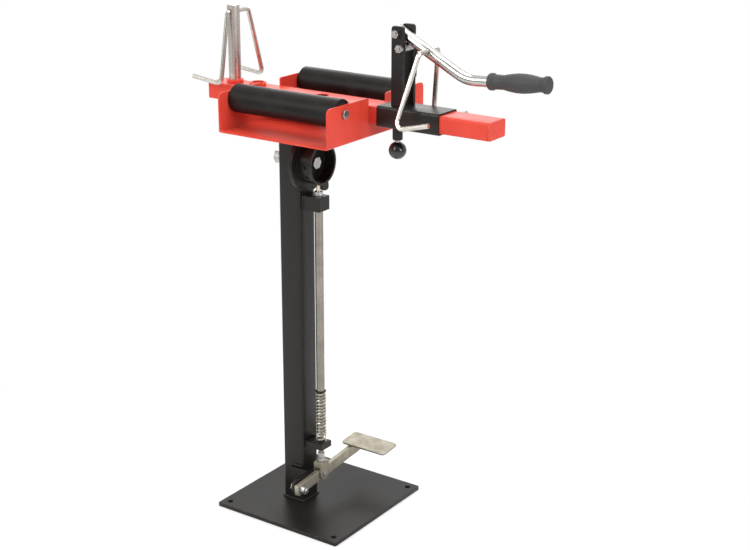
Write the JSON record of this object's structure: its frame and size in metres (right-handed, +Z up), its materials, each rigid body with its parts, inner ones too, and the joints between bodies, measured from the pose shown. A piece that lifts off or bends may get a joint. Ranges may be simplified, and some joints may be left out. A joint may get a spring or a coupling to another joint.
{
  "type": "tyre spreader stand",
  "caption": "Floor-standing manual tyre spreader: tilting roller cradle on a column, cross beam with a sliding lever head, wire hooks, and a pedal-released index pin.",
  "frame": {"origin": "on the floor, under the column's centre line, in the base plate's underside", "axes": "+Z up; +X along the cross beam and the rollers, from the fixed post towards the lever; -Y is the side where the pedal hinges"},
  "size_m": [0.7552, 0.3277, 1.013],
  "materials": {
    "red_powder_coat": "semi-gloss red powder coat",
    "black_powder_coat": "semi-gloss black powder coat",
    "chromed_tube": "polished chrome",
    "zinc_plated_steel": "zinc plated, slightly warm",
    "bright_fastener_steel": "bright zinc fasteners",
    "bare_rolled_steel": "dull plated plate with rolling marks",
    "yellow_passivated_pin": "yellow-passivated pin",
    "black_roller_sleeve": "satin black roller sleeve",
    "black_rubber_grip": "matt moulded rubber",
    "black_ball_knob": "polished plastic ball",
    "nylon_bush": "plain black bush in the roller's end, assumed"
  },
  "bodies": {
    "stand": {"base_plate": "black_powder_coat", "column": "black_powder_coat", "pivot_bush": "black_powder_coat", "pivot_bolt": "bright_fastener_steel", "pivot_washer": "bright_fastener_steel", "pivot_nut": "bright_fastener_steel", "upper_rod_guide": "black_powder_coat", "guide_cap_nut": "bright_fastener_steel", "lower_rod_guide": "black_powder_coat", "pedal_bracket": "black_powder_coat", "pedal_pivot_bolt": "bright_fastener_steel", "pedal_pivot_washer": "bright_fastener_steel", "pedal_pivot_nut": "bright_fastener_steel", "return_spring": "zinc_plated_steel"},
    "head": {"index_drum": "black_powder_coat", "head_saddle": "black_powder_coat", "roller_tray": "red_powder_coat", "cross_beam": "red_powder_coat", "beam_cap_left": "red_powder_coat", "beam_cap_right": "red_powder_coat", "post_collar": "red_powder_coat", "spare_collar": "red_powder_coat", "front_roller_bolt": "bright_fastener_steel", "front_roller_nut": "bright_fastener_steel", "back_roller_bolt": "bright_fastener_steel", "back_roller_nut": "bright_fastener_steel"},
    "front_roller_body": {"front_roller": "black_roller_sleeve", "front_roller_bush_left": "nylon_bush", "front_roller_bush_right": "nylon_bush"},
    "back_roller_body": {"back_roller": "black_roller_sleeve", "back_roller_bush_left": "nylon_bush", "back_roller_bush_right": "nylon_bush"},
    "slider": {"slider_sleeve": "black_powder_coat", "plunger_housing": "black_powder_coat", "plunger_spring": "zinc_plated_steel", "fork_plate_front": "black_powder_coat", "fork_plate_back": "black_powder_coat", "keeper_strap": "black_powder_coat", "lever_pivot_bolt": "bright_fastener_steel", "lever_pivot_nut": "bright_fastener_steel", "stop_bolt": "bright_fastener_steel", "stop_nut": "bright_fastener_steel", "stop_spacer": "bright_fastener_steel"},
    "plunger": {"plunger_pin": "bright_fastener_steel", "plunger_knob": "black_ball_knob"},
    "lever": {"lever_tube": "chromed_tube", "lever_bush": "bright_fastener_steel", "lever_grip": "black_rubber_grip"},
    "right_hook_body": {"right_hook": "zinc_plated_steel"},
    "post_body": {"post": "zinc_plated_steel"},
    "left_hook_body": {"left_hook": "zinc_plated_steel"},
    "index_rod_body": {"index_rod": "zinc_plated_steel", "lock_pin": "yellow_passivated_pin", "clevis": "bare_rolled_steel", "clevis_nut": "bright_fastener_steel", "stem_nut": "bright_fastener_steel", "spring_seat": "black_powder_coat", "clevis_pin": "bright_fastener_steel"},
    "pedal": {"pedal_arm": "bare_rolled_steel", "pedal_tread": "bare_rolled_steel"}
  },
  "joints": [
    {"name": "head_tilt", "type": "hinge", "parent": "stand", "child": "head", "pos_m": [0, 0, 0.7275], "axis": [1, 0, 0], "range_deg": [-90, 90], "stiffness_Nm_per_rad": 400},
    {"name": "front_roller_spin", "type": "hinge", "parent": "head", "child": "front_roller_body", "pos_m": [0.05975, -0.1045, 0.8593], "axis": [1, 0, 0], "continuous": true},
    {"name": "back_roller_spin", "type": "hinge", "parent": "head", "child": "back_roller_body", "pos_m": [0.05975, 0.1045, 0.8593], "axis": [1, 0, 0], "continuous": true},
    {"name": "slider_slide", "type": "slide", "parent": "head", "child": "slider", "axis": [1, 0, 0], "range_m": [-0.018, 0.095]},
    {"name": "plunger_pull", "type": "slide", "parent": "slider", "child": "plunger", "axis": [0, 0, -1], "range_m": [0, 0.012], "stiffness_N_per_m": 2000, "springref_m": -0.004, "deforming": ["plunger_spring"]},
    {"name": "lever_swing", "type": "hinge", "parent": "slider", "child": "lever", "pos_m": [0.24, 0, 0.996], "axis": [0, -1, 0], "range_deg": [0, 90]},
    {"name": "right_hook_swing", "type": "hinge", "parent": "lever", "child": "right_hook_body", "pos_m": [0.29798, 0, 0.96919], "axis": [0, -1, 0], "range_deg": [-90, 0]},
    {"name": "post_lift", "type": "slide", "parent": "head", "child": "post_body", "axis": [0, 0, 1], "range_m": [0, 0.037]},
    {"name": "left_hook_swing", "type": "hinge", "parent": "post_body", "child": "left_hook_body", "pos_m": [-0.1528, 0, 0.9995], "axis": [0, -1, 0], "range_deg": [-80, 80]},
    {"name": "pedal_press", "type": "hinge", "parent": "stand", "child": "pedal", "pos_m": [0.048, -0.072, 0.0667], "axis": [-1, 0, 0], "range_deg": [0, 12], "stiffness_Nm_per_rad": 4, "springref_deg": -45.84},
    {"name": "index_rod_slide", "type": "slide", "parent": "stand", "child": "index_rod_body", "axis": [0, 0, -1], "range_m": [0, 0.0156], "stiffness_N_per_m": 900, "springref_m": -0.03, "deforming": ["return_spring"]}
  ],
  "couplings": [
    {"joint": "right_hook_swing", "follows": "lever_swing", "ratio": -1},
    {"joint": "index_rod_slide", "follows": "pedal_press", "m_per_rad": 0.072}
  ]
}
